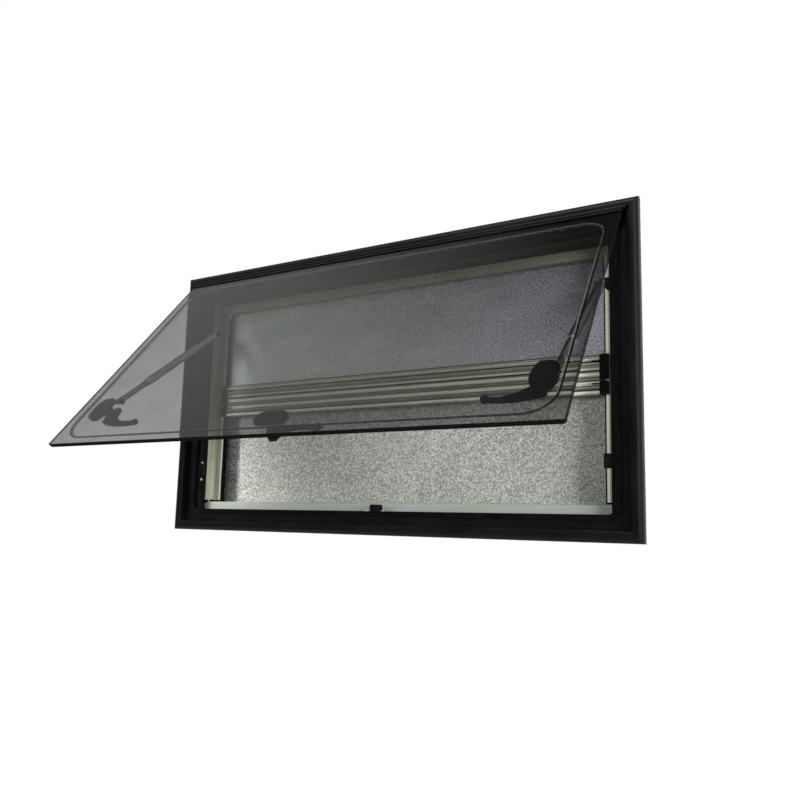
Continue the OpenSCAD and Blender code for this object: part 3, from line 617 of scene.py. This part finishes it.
def backdrop(hall, split, rays):
    """Where the white backdrop shows: all round to the camera, behind to gloss, level through the panes."""
    height = hall.math("ABSOLUTE", split["Z"])
    behind = hall.past(split["Y"], height, BACKDROP_RISE)
    ground = hall.math("ADD", hall.math("MULTIPLY", split["X"], split["X"]),
                       hall.math("MULTIPLY", split["Y"], split["Y"]))
    reach = hall.math("MULTIPLY", hall.math("SQRT", ground), BACKDROP_SLOPE)
    around = hall.past(reach, height, BACKDROP_RISE)
    mirrored = hall.math("MULTIPLY", rays["Is Glossy Ray"], behind)
    through = hall.math("MULTIPLY", rays["Is Transmission Ray"], around)
    return hall.math("MAXIMUM", hall.math("MAXIMUM", rays["Is Camera Ray"], through), mirrored)


def studio_world():
    """Soft light all round, with a white backdrop behind the window and a dim hall in front of it."""
    world = bpy.data.worlds.new("studio")
    bpy.context.scene.world = world
    world.use_nodes = True
    hall = Nodes(world.node_tree)
    way = hall.node("TexCoord").outputs["Generated"]
    split = hall.node("SeparateXYZ", {"Vector": way}).outputs
    rays = hall.node("LightPath").outputs
    soft = hall.tree.nodes["Background"]
    hall.feed(soft.inputs["Color"], WORLD_TINT)
    hall.feed(soft.inputs["Strength"], soft_light(hall, way, split, rays["Is Glossy Ray"]))
    white = hall.node("Background", {"Color": WHITE})
    both = hall.blend(backdrop(hall, split, rays), soft.outputs[0], white.outputs[0])
    hall.feed(hall.tree.nodes["World Output"].inputs["Surface"], both)


def pale_floor():
    """A pale paper floor that keeps the shadow under the window and is white further out."""
    bpy.ops.object.select_all(action="DESELECT")
    bpy.ops.mesh.primitive_plane_add(size=FLOOR_SIZE, location=(0.0, 0.0, -FLOOR_BELOW))
    floor = bpy.context.object
    floor.name = "floor"
    paper = Finish("pale_floor", FLOOR_SEEN, 0.9)
    rays = paper.node("LightPath").outputs
    paper.link(paper.mix(rays["Is Camera Ray"], FLOOR_BOUNCE, FLOOR_SEEN), "Base Color")
    away = paper.node("VectorMath", {0: paper.place}, operation="LENGTH").outputs["Value"]
    outer = paper.spread(away, *FLOOR_FADE, 0.0, 1.0)
    seen = paper.math("MAXIMUM", rays["Is Camera Ray"], rays["Is Transmission Ray"])
    white = paper.node("Emission", {"Color": WHITE, "Strength": 1.0}).outputs[0]
    paper.surface(paper.blend(paper.math("MULTIPLY", outer, seen), paper.shader.outputs[0], white))
    floor.data.materials.append(paper.material)


def studio():
    """The world, the floor and the soft lamps."""
    studio_world()
    pale_floor()
    for lamp in LAMPS:
        area_lamp(*lamp)


def dress():
    """Every piece gets its finish, and the cloths and screws are made."""
    powder_coat().give("frame_top_rail", "frame_bottom_rail", "frame_left_jamb", "frame_right_jamb",
                       "sash_hinge_profile")
    seal_rubber().give("sash_seal")
    acrylic_sheet("smoked_acrylic").give("outer_pane")
    formed_acrylic().give("inner_pane")
    moulded_black("latch_black", (0.006, 0.006, 0.0065), 0.45).give(
        "latch_base_left", "latch_base_right", "latch_base_centre", "lever_left", "lever_right",
        "lever_centre")
    moulded_black("fitting_black", (0.005, 0.005, 0.0055), 0.5).give(
        "keeper_left", "keeper_right", "keeper_centre", "stay_bracket_left", "stay_bracket_right",
        "screen_glider_left", "screen_glider_right", "blind_glider_left", "blind_glider_right")
    channel_black().give("channel_left", "channel_right")
    # The second colour of each stay metal is the painted shade of its flanks
    stay_metal("stay_tube_aluminium", (0.8, 0.82, 0.8), (0.05, 0.055, 0.05)).give(
        "stay_tube_left", "stay_tube_right")
    stay_metal("stay_rod_aluminium", (0.5, 0.54, 0.5), (0.02, 0.022, 0.02)).give(
        "stay_rod_left", "stay_rod_right")
    drawn_aluminium("roller_aluminium", (0.6, 0.6, 0.58), 0.34, (0.03, 1.0, 1.0)).give(
        "screen_roller", "blind_roller")
    pull_bar_metal().give("screen_pull_bar", "blind_pull_bar")
    moulded_pale("cream_plastic", CREAM, 0.5, 420.0).give("inner_left_jamb", "inner_right_jamb")
    top_plastic().give("inner_top_cassette")
    cassette_plastic().give("inner_bottom_cassette")
    moulded_pale("pale_plastic", (0.265, 0.285, 0.281), 0.4).give("sill_bar")
    stretched_cloth("blind_sheet", "blind_fabric", blackout_cloth())
    stretched_cloth("screen_sheet", "flyscreen", insect_mesh())
    screws()


photo_camera()
studio()
dress()
bpy.context.scene.view_settings.view_transform = "Standard"
